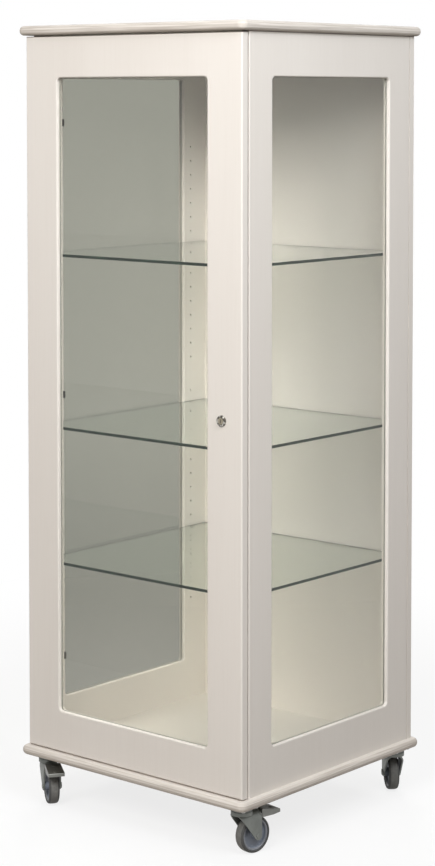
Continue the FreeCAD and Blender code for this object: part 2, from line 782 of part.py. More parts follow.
def castor_wheel():
    """Wheel core: hub, dished web and rim."""
    bore = AXLE_RADIUS + RUNNING_PLAY
    hub_half = fork_inner - HUB_GAP
    rim = axle_height - TYRE_DEPTH
    half = [
        (bore, hub_half),
        (HUB_RADIUS, hub_half),
        (HUB_RADIUS, WEB_HALF),
        (rim - RIM_WALL, WEB_HALF),
        (rim - RIM_WALL, RIM_HALF),
        (rim, RIM_HALF),
    ]
    outline = half + [(r, -y) for r, y in reversed(half)]
    points = [Vec(TRAIL + r, y, axle_height) for r, y in outline]
    face = Part.Face(Part.makePolygon(points + points[:1]))
    return face.revolve(Vec(TRAIL, 0, axle_height), BACK, 360)


def castor_tyre():
    start = Vec(TRAIL, -WHEEL_WIDTH / 2, axle_height)
    tread = rod(axle_height, start, BACK, WHEEL_WIDTH)
    shoulders = [e for e in tread.Edges if e.BoundBox.YLength < TOUCH]
    tread = tread.makeFillet(TYRE_ROUND, shoulders)
    return tread.cut(rod(axle_height - TYRE_DEPTH, start, BACK, WHEEL_WIDTH))


def pedal_plan(inset):
    """Upright prism over the pedal's plan, which flares towards its tip."""
    tip = pedal_neck + PEDAL_FLARE - inset
    neck = pedal_neck - inset
    corners = [
        Vec(pedal_start, -neck, 0),
        Vec(pedal_end - inset, -tip, 0),
        Vec(pedal_end - inset, tip, 0),
        Vec(pedal_start, neck, 0),
    ]
    return Part.Face(Part.makePolygon(corners + corners[:1])).extrude(UP * castor_height)


def pedal_side(drop):
    """Side view of the pedal, lowered by a drop: a sloping top, a lip at the tip and a skirt at the root."""
    left = -pedal_neck - PEDAL_FLARE
    low = pedal_root - SKIRT_DEPTH
    outline = [
        (pedal_start, pedal_root),
        (pedal_end, pedal_tip),
        (pedal_end, pedal_tip - PEDAL_LIP),
        (pedal_start + SKIRT_LENGTH, low),
        (pedal_start, low),
    ]
    points = [Vec(x, left, z - drop) for x, z in outline]
    return Part.Face(Part.makePolygon(points + points[:1])).extrude(BACK * (-2 * left))


def pedal_shell():
    """Pressed foot plate, open below and towards the fork."""
    shell = pedal_side(0).common(pedal_plan(0))
    bend = [e for e in level_edges(shell, pedal_tip) if e.BoundBox.XMin > pedal_end - TOUCH]
    shell = shell.makeFillet(PEDAL_BEND, bend)
    return shell.cut(pedal_side(PEDAL_THICK).common(pedal_plan(PEDAL_THICK)))


def pedal_stud(x):
    """Round boss on the sloping foot plate."""
    slope = math.atan2(PEDAL_FALL, PEDAL_LENGTH)
    normal = Vec(math.sin(slope), 0, math.cos(slope))
    place = Vec(x, 0, pedal_root - PEDAL_FALL * (x - pedal_start) / PEDAL_LENGTH)
    return rod(STUD_RADIUS, place - normal * (PEDAL_THICK / 2), normal, PEDAL_THICK / 2 + STUD_HEIGHT)


def brake_pedal():
    """Foot pedal that turns on a pin through the fork's arch and presses a shoe on the tyre."""
    pin_half = math.sqrt(fork_outer**2 - (pedal_z - arch_height) ** 2)
    pin = rod(PEDAL_PIN_RADIUS, Vec(pedal_x, -pin_half, pedal_z), BACK, 2 * pin_half)
    hub = rod(PEDAL_HUB_RADIUS, Vec(pedal_x, -pedal_hub_half, pedal_z), BACK, 2 * pedal_hub_half)
    shoe_end = pedal_start + SHOE_LENGTH
    shoe_low = axle_height + math.sqrt(axle_height**2 - (pedal_start - TRAIL) ** 2) + SHOE_GAP
    shoe_top = pedal_root - PEDAL_FALL * SHOE_LENGTH / PEDAL_LENGTH - PEDAL_THICK / 2
    shoe = block(pedal_start, shoe_end, -SHOE_HALF, SHOE_HALF, shoe_low, shoe_top)
    web = block(pedal_x, shoe_end, -SHOE_HALF, SHOE_HALF, pedal_z, pedal_z + PEDAL_WEB)
    studs = [pedal_stud(pedal_start + STUD_INSET), pedal_stud(pedal_end - STUD_INSET)]
    return pin.fuse([hub, web, shoe, pedal_shell()] + studs).removeSplitter()


# Side panels
right_panel = glazed_panel(SIDE_DEPTH, SIDE_HEIGHT, SIDE_THICK, SIDE_STILE, RAIL, False)
right_panel = minus(
    as_right_side(right_panel),
    pin_holes() + dowels(DOWEL_PLAY) + carcass_screws(SCREW_PLAY) + back_screws(SCREW_PLAY),
)
hinge_plate_screws = [screw for z in hinge_heights.values() for screw in plate_screws(z, 0)]
hinge_plate_holes = [hole for z in hinge_heights.values() for hole in plate_screws(z, SCREW_PLAY)]
save("left_side_panel", minus(mirrored(right_panel), hinge_plate_holes))
save("right_side_panel", minus(right_panel, strike_screws(SCREW_PLAY)))
side_pane, side_gasket, side_strip = [
    as_right_side(piece) for piece in glazing(SIDE_DEPTH, SIDE_HEIGHT, SIDE_THICK, SIDE_STILE, RAIL)
]
save("right_pane", side_pane)
save("left_pane", mirrored(side_pane))
save("right_gasket", side_gasket)
save("left_gasket", mirrored(side_gasket))
save("side_slot_strips", side_strip, mirrored(side_strip))

# Boards and back
both_dowels = dowels(0) + [mirrored(dowel) for dowel in dowels(0)]
both_dowel_holes = dowels(DOWEL_PLAY) + [mirrored(hole) for hole in dowels(DOWEL_PLAY)]
both_carcass_screws = carcass_screws(0) + [mirrored(screw) for screw in carcass_screws(0)]
carcass_screw_holes = carcass_screws(SCREW_PLAY) + [mirrored(hole) for hole in carcass_screws(SCREW_PLAY)]
screw_bores = [castor_screw_shank(hole, SCREW_PLAY) for hole in castor_holes]
castor_screw_holes = [placed_castor(bore, corner, False) for corner in CASTORS for bore in screw_bores]
board_bores = both_dowel_holes + carcass_screw_holes + castor_screw_holes
save("top_board", minus(board(ceiling_height), both_dowel_holes))
save("bottom_board", minus(board(castor_height), board_bores))
save("carcass_dowels", *both_dowels)
save("carcass_screws", *both_carcass_screws)
back_panel = block(-half_width, half_width, side_rear, back_rear, floor_height, ceiling_height)
rear_edges = [e for e in upright_edges(back_panel) if e.BoundBox.YMin > back_rear - TOUCH]
back_panel = back_panel.makeFillet(BACK_ROUND, rear_edges)
back_holes = back_screws(SCREW_PLAY) + [mirrored(hole) for hole in back_screws(SCREW_PLAY)]
save("back_panel", minus(back_panel, back_holes))
save("back_screws", *(back_screws(0) + [mirrored(screw) for screw in back_screws(0)]))

# Shelves
pins = []
for name, (group, index) in SHELF_PLACES.items():
    height = hole_height(group, index)
    save(name, shelf(height + PIN_SEAT))
    pins += [shelf_pin(y, height) for y in pin_rows]
save("shelf_pins", *(pins + [mirrored(pin) for pin in pins]))

# Door with its glass and fittings
door = as_door(glazed_panel(BODY_WIDTH, door_height, DOOR_THICK, DOOR_STILE, door_rail, True))
door_bores = [rod(BARREL_RADIUS + BARREL_PLAY, on_lock(door_front - DOOR_THICK), BACK, 3 * DOOR_THICK)]
for z in hinge_heights.values():
    door_bores.append(rod(CUP_RADIUS + CUP_PLAY, Vec(cup_x, door_back, z), -BACK, CUP_DEPTH + CUP_PLAY))
    door_bores += cup_screws(z, SCREW_PLAY)
save("door_panel", minus(door, door_bores))
door_pane, door_gasket, door_strip = [
    as_door(piece) for piece in glazing(BODY_WIDTH, door_height, DOOR_THICK, DOOR_STILE, door_rail)
]
save("door_pane", door_pane)
save("door_gasket", door_gasket)
save("door_slot_strip", door_strip)
save("door_bumpers", door_bumper(door_low + BUMPER_END), door_bumper(door_low + door_height - BUMPER_END))

# Hinges
for name, z in hinge_heights.items():
    save(f"hinge_cup_{name}", hinge_cup(z))
    save(f"hinge_arm_{name}", hinge_arm(z))
save("hinge_pins", *[hinge_pin(z) for z in hinge_heights.values()])
save("hinge_plates", *[hinge_plate(z) for z in hinge_heights.values()])
save("hinge_cup_screws", *[screw for z in hinge_heights.values() for screw in cup_screws(z, 0)])
save("fitting_screws", *(hinge_plate_screws + strike_screws(0)))

# Lock
save("lock_body", lock_body())
save("lock_plug", lock_plug())
save("lock_cam", lock_cam())
save("lock_cam_screw", lock_cam_screw())
save("lock_nut", lock_nut())
save("strike_plate", strike_plate())

# Castors
save("castor_plates", *[placed_castor(castor_plate(), corner, False) for corner in CASTORS])
save("castor_king_pins", *[placed_castor(king_pin(), corner, False) for corner in CASTORS])
save(
    "castor_screws",
    *[placed_castor(castor_screw(hole), corner, False) for corner in CASTORS for hole in castor_holes],
)
for corner in CASTORS:
    save(f"castor_fork_{corner}", placed_castor(castor_fork(corner in BRAKED), corner))
    save(f"castor_axle_{corner}", placed_castor(castor_axle(), corner))
    save(f"castor_wheel_{corner}", placed_castor(castor_wheel(), corner))
    save(f"castor_tyre_{corner}", placed_castor(castor_tyre(), corner))
    if corner in BRAKED:
        save(f"brake_pedal_{corner}", placed_castor(brake_pedal(), corner))
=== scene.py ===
import json
import math

import bmesh
import bpy
from bpy.props import FloatProperty, FloatVectorProperty, PointerProperty
from mathutils import Matrix, Vector


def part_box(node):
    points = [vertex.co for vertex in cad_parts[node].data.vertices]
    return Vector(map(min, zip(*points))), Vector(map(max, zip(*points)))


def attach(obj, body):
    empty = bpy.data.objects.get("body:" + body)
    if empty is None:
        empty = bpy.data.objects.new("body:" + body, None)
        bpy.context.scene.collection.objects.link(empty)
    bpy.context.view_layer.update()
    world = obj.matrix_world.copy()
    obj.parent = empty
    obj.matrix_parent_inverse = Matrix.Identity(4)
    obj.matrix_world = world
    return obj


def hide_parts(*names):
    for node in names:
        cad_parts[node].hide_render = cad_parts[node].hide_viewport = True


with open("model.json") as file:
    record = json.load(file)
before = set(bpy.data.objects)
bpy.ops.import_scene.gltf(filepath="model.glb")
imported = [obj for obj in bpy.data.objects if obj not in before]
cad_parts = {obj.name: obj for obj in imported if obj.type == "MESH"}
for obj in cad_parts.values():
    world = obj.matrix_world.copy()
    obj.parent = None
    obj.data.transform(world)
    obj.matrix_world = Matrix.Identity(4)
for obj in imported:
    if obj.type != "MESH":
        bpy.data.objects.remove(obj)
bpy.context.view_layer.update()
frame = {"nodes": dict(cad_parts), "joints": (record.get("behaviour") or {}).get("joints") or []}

bl_info = {
    "name": "Glazed display case",
    "version": (1, 0, 0),
    "blender": (4, 5, 0),
    "location": "3D View > Sidebar > Display case",
    "description": "Dresses a glazed display case: lacquered veneer, panes, shelves, fittings and castors",
    "category": "Object",
}

CORNERS = ("front_left", "front_right", "rear_left", "rear_right")
SHELVES = ("lower_shelf", "middle_shelf", "upper_shelf")
HINGES = ("upper", "middle", "lower")

# Half profiles of a castor's wheel, as places along its axle and radii, in metres
CORE = (
    (0.0156, 0.0043), (0.0156, 0.0084), (0.0150, 0.0090), (0.0058, 0.0096), (0.0047, 0.0112), (0.0043, 0.0240),
    (0.0050, 0.0260), (0.0074, 0.0273), (0.0090, 0.0279), (0.0097, 0.0287), (0.0098, 0.0304), (0.0093, 0.0316),
)
TYRE = (
    (0.0092, 0.0317), (0.0104, 0.0318), (0.0112, 0.0325), (0.0113, 0.0336), (0.0107, 0.0351), (0.0094, 0.0363),
    (0.0074, 0.0370), (0.0048, 0.0374), (0.0018, 0.0375),
)
RIM_RADIUS = 0.0269  # the core is rim outside it
TREAD_RADIUS = 0.0363  # the tyre takes the paler tread colour outside it, partly wear and partly painted light
WHEEL_TURNS = 72  # faces round a wheel
WHEEL_CREASE = 40  # degrees
SHELF_CREASE = 10

# How finely the figure of the wood repeats across and along its grain, per metre
CLOUDS = (6.0, 0.7)
STREAKS = (170.0, 4.0)
PORES = (700.0, 16.0)
EDGE_STREAKS = (8.0, 8.0, 480.0)  # along each axis
BEECH_FLECKS = (300.0, 300.0, 22.0)

# Wood, in metres and linear colours
PLY = 0.0056  # height of a ply at a board's edge
PLY_SHADE = 0.95
JOINT_START = 0.0022  # below the joint, where its stripe of painted shade starts
JOINT_FULL = 0.0010  # and where it is full
UNDER_FULL = 0.0012  # above the underside, where its painted shade starts to fade
UNDER_END = 0.0052  # and where it ends
STREAK_TONE = (0.42, 0.365, 0.315)
LEVEL_TONE = (0.56, 0.51, 0.46)
JOINT_PAINTED_SHADE = (0.10, 0.075, 0.055)
UNDERSIDE_PAINTED_SHADE = (0.22, 0.185, 0.15)
BEECH = (0.63, 0.46, 0.29)
BEECH_DARK = (0.50, 0.34, 0.20)
LACQUER = {"specular_ior_level": 0.22, "coat_weight": 0.06, "coat_roughness": 0.3}
DULL_LACQUER = {"specular_ior_level": 0.1}

# Glass
GLASS_IOR = 1.5
SHADOW_TINT = (0.885, 0.885, 0.865, 1.0)
PAINTED_GLINTS = (14.0, 14.0, 260.0)  # how finely the painted glints on a shelf's edge repeat along each axis, per metre

# How finely the lines in plated metal repeat along each axis, per metre
PIN_LINES = (600.0, 900.0, 900.0)
FITTING_LINES = (900.0, 900.0, 120.0)
LOCK_LINES = (1100.0, 60.0, 1100.0)
SCREW_LINES = (700.0, 700.0, 700.0)
CASTOR_LINES = (420.0, 420.0, 60.0)

# Stage
FLOOR_SIZE = 15.0
FLOOR_FADE = (0.7, 2.2)  # distances from the case between which the floor turns white
AMBIENT_TINT = (1.0, 0.98, 0.955, 1.0)
WHITE = (1.0, 1.0, 1.0)
PAPER_SEEN = (0.95, 0.95, 0.95)
AWAY = (-0.65, 0.76, 0.0)  # from the photograph's camera, past the case
ROOM_DARK = 0.5  # tone of the room on the camera's side, against the room behind the case
ROOM_TURN = (0.1, 0.8)  # parts of a direction that point away, between which the tone changes
ROOM_DEPTH = (-1.5, 6.5)  # and distances away, on the floor
LAMP_SIZE = 1.3
LAMP_AIM = (0.0, 0.0, 1.0)
FRONT_LAMP = (0.9, -3.0, 2.6)
SIDE_LAMP = (2.1, -0.9, 2.6)
BACK_LAMP = (-2.2, 2.6, 3.3)
WARM = (1.0, 0.99, 0.97)
COOL = (0.93, 0.97, 1.0)

# Camera, fitted to the corners of the case in the photograph
LENS = 90.751  # mm
SENSOR = 36.0
SHIFT_Y = -0.249
CLIP_END = 60.0
HEADING = math.radians(40.475)  # from +Y towards -X
TILT = math.radians(3.112)  # below the horizon
CAMERA_PLACE = (2.999307, -3.527049, 1.500319)


class CaseVeneer(bpy.types.PropertyGroup):
    pale: FloatVectorProperty(
        name="Glaze",
        description="Colour of the white glaze on the veneer",
        subtype="COLOR",
        default=(0.82, 0.77, 0.72),
    )
    grain: FloatVectorProperty(
        name="Grain",
        description="Colour of the wood that shows through the glaze",
        subtype="COLOR",
        default=(0.68, 0.62, 0.56),
    )
    sheen: FloatProperty(
        name="Roughness",
        description="Roughness of the satin lacquer",
        subtype="FACTOR",
        min=0,
        max=1,
        default=0.46,
    )


class CaseGlass(bpy.types.PropertyGroup):
    pane: FloatVectorProperty(
        name="Pane",
        description="Tint of light that goes through a pane",
        subtype="COLOR",
        default=(0.885, 0.885, 0.855),
    )
    shelf: FloatVectorProperty(
        name="Shelf",
        description="Tint of light that goes through a shelf",
        subtype="COLOR",
        default=(0.84, 0.90, 0.86),
    )
    edge: FloatVectorProperty(
        name="Shelf edge",
        description="Colour of a shelf's polished edge",
        subtype="COLOR",
        default=(0.006, 0.017, 0.010),
    )
    gasket: FloatVectorProperty(
        name="Gasket",
        description="Colour of the gaskets and the door's bumpers",
        subtype="COLOR",
        default=(0.55, 0.53, 0.48),
    )
    arris: FloatProperty(
        name="Arris",
        description="Width of the ground arris along a shelf's edges",
        subtype="DISTANCE",
        unit="LENGTH",
        default=0.0008,
    )


class CaseMetal(bpy.types.PropertyGroup):
    nickel: FloatVectorProperty(
        name="Nickel",
        description="Colour of the plated pins, lock and hinges",
        subtype="COLOR",
        default=(0.50, 0.48, 0.44),
    )
    # Painted shade on the hinges and fittings, which are given this dark nickel in place of their plating's own
    # colour
    dark: FloatVectorProperty(
        name="Dark nickel, painted shade",
        description="Colour of the hinges, dark as painted shade, and of the lock's dark ring",
        subtype="COLOR",
        default=(0.085, 0.075, 0.062),
    )
    face: FloatVectorProperty(
        name="Lock face",
        description="Colour of the lock's plug",
        subtype="COLOR",
        default=(0.34, 0.30, 0.23),
    )
    zinc: FloatVectorProperty(
        name="Zinc",
        description="Colour of the castors' zinc plated steel",
        subtype="COLOR",
        default=(0.20, 0.21, 0.195),
    )
    pedal: FloatVectorProperty(
        name="Pedals",
        description="Colour of the polished brake pedals",
        subtype="COLOR",
        default=(0.19, 0.19, 0.175),
    )
    steel: FloatVectorProperty(
        name="Screws",
        description="Colour of the screws",
        subtype="COLOR",
        default=(0.50, 0.50, 0.48),
    )


class CaseCastors(bpy.types.PropertyGroup):
    core: FloatVectorProperty(
        name="Wheel",
        description="Colour of the moulded wheel cores",
        subtype="COLOR",
        default=(0.165, 0.185, 0.225),
    )
    lip: FloatVectorProperty(
        name="Rim",
        description="Colour of the wheels' paler rims",
        subtype="COLOR",
        default=(0.225, 0.235, 0.26),
    )
    tyre: FloatVectorProperty(
        name="Tyre",
        description="Colour of the tyres' sides",
        subtype="COLOR",
        default=(0.06, 0.06, 0.058),
    )
    # Wear and painted light: the tread is paler than the tyre's sides, as where the crown faces the lamps
    tread: FloatVectorProperty(
        name="Tread",
        description="Colour of the tyres' treads, paler from wear and from painted light",
        subtype="COLOR",
        default=(0.15, 0.148, 0.14),
    )


class CaseStage(bpy.types.PropertyGroup):
    ambient: FloatProperty(
        name="Ambient", description="Strength of the even light from all round", min=0, default=0.25
    )
    front_power: FloatProperty(
        name="Front lamp",
        description="Power of the soft lamp before the door",
        subtype="POWER",
        unit="POWER",
        min=0,
        default=75.5,
    )
    side_power: FloatProperty(
        name="Side lamp",
        description="Power of the soft lamp to the right",
        subtype="POWER",
        unit="POWER",
        min=0,
        default=43.0,
    )
    back_power: FloatProperty(
        name="Back lamp",
        description="Power of the soft lamp behind the case",
        subtype="POWER",
        unit="POWER",
        min=0,
        default=60.0,
    )
    paper: FloatVectorProperty(
        name="Floor",
        description="Colour that the floor throws back on the case",
        subtype="COLOR",
        default=(0.32, 0.29, 0.26),
    )
    whiteness: FloatProperty(
        name="White",
        description="How white the floor is seen near the case",
        subtype="FACTOR",
        min=0,
        max=1,
        default=0.8,
    )
    behind: FloatVectorProperty(
        name="Behind glass",
        description="Colour of the room that shows through glass",
        subtype="COLOR",
        default=(0.386, 0.391, 0.349),
    )


class Value:
    """A node's output. Maths on it adds Math nodes."""

    def __init__(self, nodes, socket):
        self.nodes = nodes
        self.socket = socket

    def maths(self, operation, first, second):
        return self.nodes.node("ShaderNodeMath", {"operation": operation}, {0: first, 1: second})

    def __add__(self, other):
        return self.maths("ADD", self, other)

    def __rsub__(self, other):
        return self.maths("SUBTRACT", other, self)

    def __mul__(self, other):
        return self.maths("MULTIPLY", self, other)

    def sine(self):
        return self.maths("SINE", self, 0.0)

    def largest(self, other):
        return self.maths("MAXIMUM", self, other)

    def above(self, low, high):
        """Smooth step of this value from 0 at low to 1 at high."""
        return self.nodes.node(
            "ShaderNodeMapRange",
            {"interpolation_type": "SMOOTHSTEP"},
            {"Value": self, "From Min": low, "From Max": high},
        )


class Nodes:
    """The nodes of a material or of the world."""

    def __init__(self, owner):
        owner.use_nodes = True
        self.owner = owner
        self.tree = owner.node_tree
        self.tree.nodes.clear()

    def node(self, kind, settings=None, sockets=None, output=0):
        """Adds a node, sets it up, then sets or links its sockets. Gives one output, or several by name."""
        node = self.tree.nodes.new(kind)
        for key, value in (settings or {}).items():
            setattr(node, key, value)
        for key, value in (sockets or {}).items():
            if isinstance(value, Value):
                self.tree.links.new(value.socket, node.inputs[key])
            else:
                node.inputs[key].default_value = value
        if isinstance(output, tuple):
            return [Value(self, node.outputs[name]) for name in output]
        return Value(self, node.outputs[output]) if len(node.outputs) else None

    def place(self, stretch, shift=(0, 0, 0)):
        """Position on the piece, stretched along each axis and shifted."""
        position = self.node("ShaderNodeTexCoord", output="Object")
        scaled = self.node("ShaderNodeVectorMath", {"operation": "MULTIPLY"}, {0: position, 1: stretch})
        return self.node("ShaderNodeVectorMath", {"operation": "ADD"}, {0: scaled, 1: shift})

    def noise(self, stretch, detail, shift=(0, 0, 0), distortion=0.0):
        return self.node(
            "ShaderNodeTexNoise",
            {"noise_dimensions": "3D"},
            {
                "Vector": self.place(stretch, shift),
                "Scale": 1.0,
                "Detail": detail,
                "Roughness": 0.5,
                "Distortion": distortion,
            },
        )

    def speckle(self, fineness, detail):
        """Noise that is as fine along each axis."""
        return self.noise((fineness, fineness, fineness), detail)

    def blend(self, factor, first, second):
        """Colour between two colours."""
        first, second = [c if isinstance(c, Value) else (*c, 1.0) for c in (first, second)]
        return self.node("ShaderNodeMix", {"data_type": "RGBA"}, {0: factor, 6: first, 7: second}, output=2)

    def bump(self, height, depth, strength):
        return self.node("ShaderNodeBump", None, {"Height": height, "Distance": depth, "Strength": strength})

    def principled(self, **sockets):
        named = {key.replace("_", " ").title().replace("Ior", "IOR"): value for key, value in sockets.items()}
        return self.node("ShaderNodeBsdfPrincipled", None, named)

    def out(self, shader, kind="ShaderNodeOutputMaterial"):
        self.node(kind, None, {"Surface": shader})
        return self.owner


def new_material(name):
    return Nodes(bpy.data.materials.new(name))


def dress(material, *names):
    """Puts a material on CAD nodes."""
    for name in names:
        piece = frame["nodes"][name]
        if not piece.material_slots:
            piece.data.materials.append(material)
        for slot in piece.material_slots:
            slot.material = material


# Finishes
def veneer(name, axis, shift, board=False, joint=None, under=None):
    """Pale veneer under a white glaze, with its grain along one axis.

    A board's upright edge shows plies and long streaks, and its level faces are duller. A panel has painted
    shade in a dark stripe just below its joint with the top board, and the top board has painted shade just
    above its underside.
    """
    care = bpy.context.scene.case_veneer
    along = [axis == k for k in range(3)]

    def stretch(across, length):
        return [length if on else across for on in along]

    m = new_material(name)
    cloud = m.noise(stretch(*CLOUDS), 3.0, shift, 0.3)
    streak = m.noise(stretch(*STREAKS), 3.0, shift, 0.1)
    pores = m.noise(stretch(*PORES), 1.0, shift).above(0.58, 0.72)
    tone = cloud.above(0.3, 0.75) * 0.16 + streak.above(0.3, 0.72) * 0.06 + pores * 0.08
    height = m.node("ShaderNodeSeparateXYZ", None, {0: m.place((1.0, 1.0, 1.0))}, output="Z")
    rough = streak * 0.12 + (care.sheen - 0.06)
    lacquer = LACQUER
    if board:
        normal = m.node("ShaderNodeNewGeometry", output="Normal")
        upward = m.node("ShaderNodeSeparateXYZ", None, {0: normal}, output="Z")
        edge = 1 - (upward * upward).above(0.6, 0.95)
        level = 1 - edge
        ply = (height * (math.tau / PLY)).sine().above(-0.6, 1.0) * 0.7 + 0.3
        long_streak = m.noise(EDGE_STREAKS, 3.0, shift).above(0.42, 0.62) * edge
        wood = m.blend(tone + ply * edge * PLY_SHADE, care.pale, care.grain)
        wood = m.blend(long_streak * 0.45, wood, STREAK_TONE)
        wood = m.blend(level * 0.3, wood, LEVEL_TONE)
        rough = rough + level * 0.25
        lacquer = DULL_LACQUER
    else:
        wood = m.blend(tone, care.pale, care.grain)
    # Painted shade: a dark stripe on the panel just below its joint with the top board, where the gap's shadow
    # falls
    if joint:
        painted_joint_shade = height.above(joint - JOINT_START, joint - JOINT_FULL)
        wood = m.blend(painted_joint_shade * 0.8, wood, JOINT_PAINTED_SHADE)
    # Painted shade: the top board's colour darkens just above its underside, where shade falls below the board
    if under:
        dark = 1 - height.above(under + UNDER_FULL, under + UNDER_END)
        wood = m.blend(dark * 0.55, wood, UNDERSIDE_PAINTED_SHADE)
    relief = m.bump(streak * 0.4 + pores * -0.6, 0.0003, 0.2)
    return m.out(m.principled(base_color=wood, roughness=rough, normal=relief, **lacquer))


def clear_glass(name, tint):
    """Float glass. A lamp's light goes straight through it with a light tint."""
    m = new_material(name)
    body = m.principled(base_color=(*tint, 1.0), roughness=0.0, transmission_weight=1.0, ior=GLASS_IOR)
    shadow = m.node("ShaderNodeLightPath", output="Is Shadow Ray")
    clear = m.node("ShaderNodeBsdfTransparent", None, {"Color": SHADOW_TINT})
    return m.out(m.node("ShaderNodeMixShader", None, {0: shadow, 1: body, 2: clear}))


def shelf_edge():
    """Polished edge of a shelf, dark green with paler painted streaks that stand for light from inside the
    glass.
    """
    edge = bpy.context.scene.case_glass.edge
    m = new_material("shelf_edge")
    # Painted highlight: paler streaks on the edge stand for light coming from inside the glass
    painted_glint = m.noise(PAINTED_GLINTS, 2.0).above(0.45, 0.8)
    shade = m.blend(painted_glint * 0.6, edge, [c * 3.0 + 0.02 for c in edge])
    return m.out(m.principled(base_color=shade, roughness=0.25, specular_ior_level=0.12))


def gasket_rubber():
    m = new_material("gasket_rubber")
    dust = m.speckle(160.0, 3.0)
    base = bpy.context.scene.case_glass.gasket
    shade = m.blend(dust, [c * 0.85 for c in base], [c * 1.15 for c in base])
    relief = m.bump(dust, 0.0002, 0.2)
    return m.out(m.principled(base_color=shade, roughness=dust * 0.15 + 0.6, normal=relief))


def plated(name, base, rough, metallic, fineness, worn=None):
    """Plated metal with fine drawn lines and a cloudy tone, and another colour where it is worn."""
    m = new_material(name)
    cloud = m.speckle(45.0, 3.0)
    lines = m.noise(fineness, 2.0)
    shade = m.blend(cloud.above(0.3, 0.7), [c * 0.86 for c in base], [min(1.0, c * 1.1) for c in base])
    if worn:
        shade = m.blend(m.speckle(170.0, 1.0).above(0.5, 0.58), shade, worn)
    relief = m.bump(lines, 0.0001, 0.12)
    gloss = lines * 0.16 + cloud * 0.1 + (rough - 0.13)
    return m.out(m.principled(base_color=shade, metallic=metallic, roughness=gloss, normal=relief))


def bare_wood():
    m = new_material("bare_beech")
    fleck = m.noise(BEECH_FLECKS, 2.0)
    shade = m.blend(fleck.above(0.35, 0.7), BEECH, BEECH_DARK)
    return m.out(m.principled(base_color=shade, roughness=fleck * 0.2 + 0.5))


def wheel_plastic(name, base):
    m = new_material(name)
    cloud = m.speckle(60.0, 4.0)
    grit = m.speckle(900.0, 1.0)
    shade = m.blend(cloud.above(0.3, 0.75), base, [c * 1.25 for c in base])
    relief = m.bump(grit, 0.0001, 0.15)
    return m.out(m.principled(base_color=shade, roughness=cloud * 0.12 + 0.4, normal=relief))


def tyre_rubber(name, base):
    m = new_material(name)
    scuff = m.speckle(120.0, 5.0)
    grit = m.speckle(1400.0, 1.0)
    shade = m.blend(scuff.above(0.35, 0.75), base, [c * 1.35 for c in base])
    relief = m.bump(grit + scuff, 0.0002, 0.2)
    return m.out(m.principled(base_color=shade, roughness=scuff * 0.15 + 0.62, normal=relief))


# Shapes
def mesh_piece(name, body, mesh, materials, crease):
    """New piece that moves with a body. Edges sharper than the crease angle, in degrees, stay sharp."""
    data = bpy.data.meshes.new(name)
    mesh.to_mesh(data)
    mesh.free()
    data.set_sharp_from_angle(angle=math.radians(crease))
    for material in materials:
        data.materials.append(material)
    piece = bpy.data.objects.new(name, data)
    bpy.context.scene.collection.objects.link(piece)
    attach(piece, body)
    return piece


def box_mesh(low, high):
    mesh = bmesh.new()
    bmesh.ops.create_cube(mesh, size=1.0)
    for vertex in mesh.verts:
        vertex.co = [low[k] if vertex.co[k] < 0 else high[k] for k in range(3)]
    return mesh


def shelf_mesh(node, arris):
    """Glass shelf with a ground arris. Its upright faces and arrises take the second material."""
    mesh = box_mesh(*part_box(node))
    bmesh.ops.bevel(mesh, geom=mesh.edges[:], offset=arris, segments=2, profile=0.5, affect="EDGES")
    mesh.normal_update()
    for face in mesh.faces:
        face.material_index = 0 if abs(face.normal.z) > 0.99 else 1
    return mesh


def lathe_mesh(joint, half, limit):
    """Wheel piece turned round its joint's axis from a half profile.

    Faces outside the limit, a radius, take the second material.
    """
    centre, axis = Vector(joint["pos_m"]), Vector(joint["axis"]).normalized()
    up = Vector((0.0, 0.0, 1.0))
    side = axis.cross(up)
    turns = [math.tau * k / WHEEL_TURNS for k in range(WHEEL_TURNS)]
    spokes = [up * math.cos(t) + side * math.sin(t) for t in turns]
    profile = list(half) + [(-along, radius) for along, radius in reversed(half)]
    mesh = bmesh.new()
    rings = [
        [mesh.verts.new(centre + axis * along + spoke * radius) for spoke in spokes]
        for along, radius in profile
    ]
    for k, ring in enumerate(rings):
        before = rings[k - 1]
        outer = min(profile[k - 1][1], profile[k][1]) > limit
        for i in range(WHEEL_TURNS):
            face = mesh.faces.new((before[i - 1], before[i], ring[i], ring[i - 1]))
            face.smooth = True
            face.material_index = int(outer)
    bmesh.ops.recalc_face_normals(mesh, faces=mesh.faces[:])
    return mesh


class CASE_OT_joinery(bpy.types.Operator):
    """Finishes the boards, panels and the door"""

    bl_idname = "case.joinery"
    bl_label = "Joinery"

    def execute(self, context):
        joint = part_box("door_panel")[1][2]
        dress(veneer("door_veneer", 2, (3.1, 0.4, 1.7), joint=joint), "door_panel", "door_slot_strip")
        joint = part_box("right_side_panel")[1][2]
        dress(veneer("left_veneer", 2, (11.3, 5.2, 0.3), joint=joint), "left_side_panel")
        dress(veneer("right_veneer", 2, (7.7, 9.1, 2.9), joint=joint), "right_side_panel", "side_slot_strips")
        dress(veneer("back_veneer", 2, (1.9, 14.6, 4.1), joint=joint), "back_panel")
        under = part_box("top_board")[0][2]
        dress(veneer("top_veneer", 0, (0.8, 2.2, 6.3), board=True, under=under), "top_board")
        dress(veneer("bottom_veneer", 0, (5.5, 6.4, 8.8), board=True), "bottom_board")
        dress(bare_wood(), "carcass_dowels")
        return {"FINISHED"}


class CASE_OT_glazing(bpy.types.Operator):
    """Glazes the door and the side panels"""

    bl_idname = "case.glazing"
    bl_label = "Glazing"

    def execute(self, context):
        dress(clear_glass("pane_glass", context.scene.case_glass.pane), "left_pane", "right_pane", "door_pane")
        dress(gasket_rubber(), "left_gasket", "right_gasket", "door_gasket", "door_bumpers")
        return {"FINISHED"}


